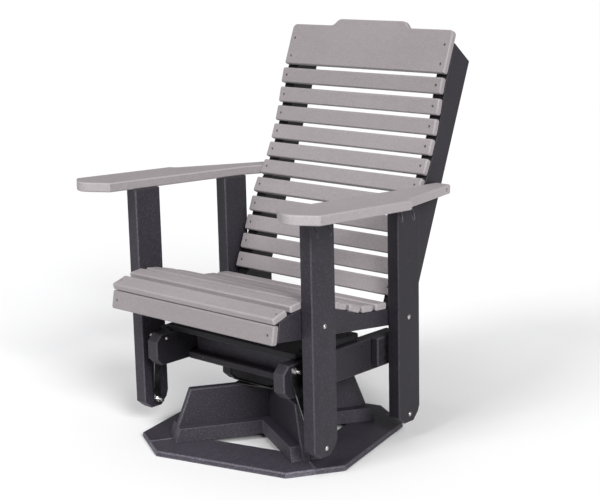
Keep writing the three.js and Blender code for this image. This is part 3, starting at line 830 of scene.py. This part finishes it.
def bolt_head_tree():
    """A low round head with a hexagon socket on a washer. Z = 0 is the face that the
    washer lies on."""
    tree = Shape("bolt_heads", ["Head radius", "Head height", "Washer", "Socket", "Seed"])
    radius = tree.input("Head radius")
    high = tree.input("Head height")
    washer = tree.input("Washer")
    ring = tree.moved(tree.rod(36, radius * 1.3, washer), washer * 0.5)
    inputs = {"Segments": 36, "Rings": 18, "Radius": radius}
    ball = tree.node("GeometryNodeMeshUVSphere", {}, inputs)
    low = tree.node("ShaderNodeCombineXYZ", {}, {"X": 1.0, "Y": 1.0, "Z": high / radius})
    dome = tree.node("GeometryNodeTransform", {}, {"Geometry": ball, "Scale": low})
    socket = tree.moved(tree.rod(6, tree.input("Socket"), high), high)
    head = tree.moved(tree.less(dome, socket), washer)
    tree.set_out(tree.together([ring, head]))
    return tree


def fasteners(name, tree, places, sizes, body, material):
    """Builds a tree's fasteners on their places, as one plain piece for a body."""
    mesh = bpy.data.meshes.new(name)
    mesh.from_pydata([point for point, _ in places], [], [])
    facing = mesh.attributes.new("facing", "FLOAT_VECTOR", "POINT")
    facing.data.foreach_set("vector", [part for _, way in places for part in way])
    piece = made_object(name, mesh)
    builder = piece.modifiers.new("builder", "NODES")
    builder.node_group = tree.tree
    for size, value in {**sizes, "Finish": material}.items():
        builder[tree.ids[size]] = value
    settle(piece)
    piece.data.shade_smooth()
    piece.data.set_sharp_from_angle(angle=CREASE)
    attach(piece, body)


def bolt_places(x, outwards, bolts):
    """Bolts on both sides of the chair: where they are, and which way they face."""
    ways = [Vector((side, 0, 0)) for side in SIDES]
    return [(at(way.x * x, y, z), way * outwards) for way in ways for y, z in bolts]


screw_sizes = {
    "Head radius": 3.7 * MM,
    "Head height": 2.6 * MM,
    "Socket": 2.7 * MM,
    "Seed": 7,
}
end_sizes = {
    "Bolt radius": 4.75 * MM,
    "Nut radius": 8.2 * MM,
    "Nut height": 7.2 * MM,
    "Tail": 13.0 * MM,
    "Washer": 1.0 * MM,
    "Pitch": 1.6 * MM,
    "Seed": 3,
}
head_sizes = {
    "Head radius": 4.6 * MM,
    "Head height": 3.2 * MM,
    "Washer": 0.8 * MM,
    "Socket": 1.9 * MM,
    "Seed": 5,
}

screw = screw_tree()
for body in ("cradle", "seat"):
    heads = [
        (point - facing * HEAD_SINK * MM, facing)
        for node in sorted(screws)
        if body_of[node] == body
        for point, facing in screws[node]
    ]
    fasteners(f"{body}_screws", screw, heads, screw_sizes, body, screw_steel)

bolt_end = bolt_end_tree()
bolt_head = bolt_head_tree()
beyond_strap = STRAP_THICK + STRAP_PLAY
ends = bolt_places(CRADLE_OUTER + beyond_strap, 1, UPPER_PIVOTS)
fasteners("cradle_bolt_ends", bolt_end, ends, end_sizes, "cradle", stainless)
heads = bolt_places(CRADLE_INNER, -1, UPPER_PIVOTS)
fasteners("cradle_bolt_heads", bolt_head, heads, head_sizes, "cradle", stainless)
ends = bolt_places(LEG_INNER - beyond_strap, -1, LOWER_PIVOTS)
fasteners("seat_bolt_ends", bolt_end, ends, end_sizes, "seat", stainless)
heads = bolt_places(LEG_OUTER, 1, LOWER_PIVOTS + SEAT_BOLTS)
fasteners("seat_bolt_heads", bolt_head, heads, head_sizes, "seat", stainless)


# Floor, light and camera

FLOOR_REACH = 40.0  # metres from its middle
WALL_WAY = (-0.68, 0.73, 0.0)  # where the pale wall behind the chair is
FROM_ABOVE = 0.67  # strengths of the light that surrounds the chair
FROM_WALL = 0.27
ALL_ROUND = 0.02
LIGHT_WIDE = math.radians(24)  # how wide each far light looks

# The photograph's own viewpoint, found from the chair's straight edges

CAMERA_PLACE = (2.6550, -2.8383, 1.3685)
YAW, PITCH, ROLL = 0.7455, 0.2197, -0.0226  # radians left, down and counterclockwise
FOCAL = 1457.085  # in the photograph's pixels
PHOTO_WIDE = 600.0  # pixels
SENSOR = 36.0  # millimetres


def pale_floor():
    paint = Finish("floor_paint", Roughness=0.85, Specular_IOR_Level=0.2)
    place = paint.node("ShaderNodeTexCoord", output="Object")
    tone = paint.noise(place, 1.5, 2.0)
    colour = paint.mix(tone, (0.86, 0.86, 0.865, 1.0), (0.88, 0.88, 0.88, 1.0))
    paint.set(Base_Color=colour)
    mesh = bmesh.new()
    bmesh.ops.create_grid(mesh, x_segments=4, y_segments=4, size=FLOOR_REACH)
    floor = made_object("floor", mesh)
    floor.data.materials.append(paint.material)


def soft_surroundings():
    """Light from above and from a pale wall."""
    world = bpy.data.worlds.new("studio")
    world.use_nodes = True
    sky = Tree(world.node_tree)
    way = sky.node("ShaderNodeTexCoord", output="Generated")
    height = sky.node("ShaderNodeSeparateXYZ", {}, [way], "Z").at_least(0.0)
    dot = {"operation": "DOT_PRODUCT"}
    behind = sky.node("ShaderNodeVectorMath", dot, [way, WALL_WAY], "Value")
    wall = behind.at_least(0.0) ** 2 * (1.0 - height * 2.0).at_least(0.0)
    back = world.node_tree.nodes["Background"]
    back.inputs["Color"].default_value = (0.98, 0.98, 1.0, 1.0)
    glow = height**2 * FROM_ABOVE + wall * FROM_WALL + ALL_ROUND
    world.node_tree.links.new(glow.socket, back.inputs["Strength"])
    bpy.context.scene.world = world


def far_light(name, turn, height, power):
    """Broad soft light from "turn" degrees right of the front, "height" degrees up."""
    light = bpy.data.lights.new(name, "SUN")
    light.energy = power
    light.angle = LIGHT_WIDE
    lamp = bpy.data.objects.new(name, light)
    turn, height = math.radians(turn), math.radians(height)
    flat = math.cos(height)
    way = Vector((math.sin(turn) * flat, -math.cos(turn) * flat, math.sin(height)))
    lamp.rotation_euler = way.to_track_quat("Z", "Y").to_euler()
    bpy.context.scene.collection.objects.link(lamp)


def camera():
    flat = math.cos(PITCH)
    ahead = Vector((-math.sin(YAW) * flat, math.cos(YAW) * flat, -math.sin(PITCH)))
    level = Vector((math.cos(YAW), math.sin(YAW), 0))
    above = level.cross(ahead)
    right = level * math.cos(ROLL) + above * math.sin(ROLL)
    above = above * math.cos(ROLL) - level * math.sin(ROLL)
    data = bpy.data.cameras.new("camera")
    data.sensor_width = SENSOR
    data.lens = SENSOR * FOCAL / PHOTO_WIDE
    seen = bpy.data.objects.new("camera", data)
    turn = Matrix((right, above, -ahead)).transposed()
    seen.matrix_world = Matrix.Translation(CAMERA_PLACE) @ turn.to_4x4()
    bpy.context.scene.collection.objects.link(seen)
    bpy.context.scene.camera = seen


pale_floor()
soft_surroundings()
far_light("key", 65, 29, 2.9)
far_light("front", -4, 39, 1.4)
far_light("high", 10, 66, 0.42)
camera()
bpy.context.scene.view_settings.view_transform = "Standard"
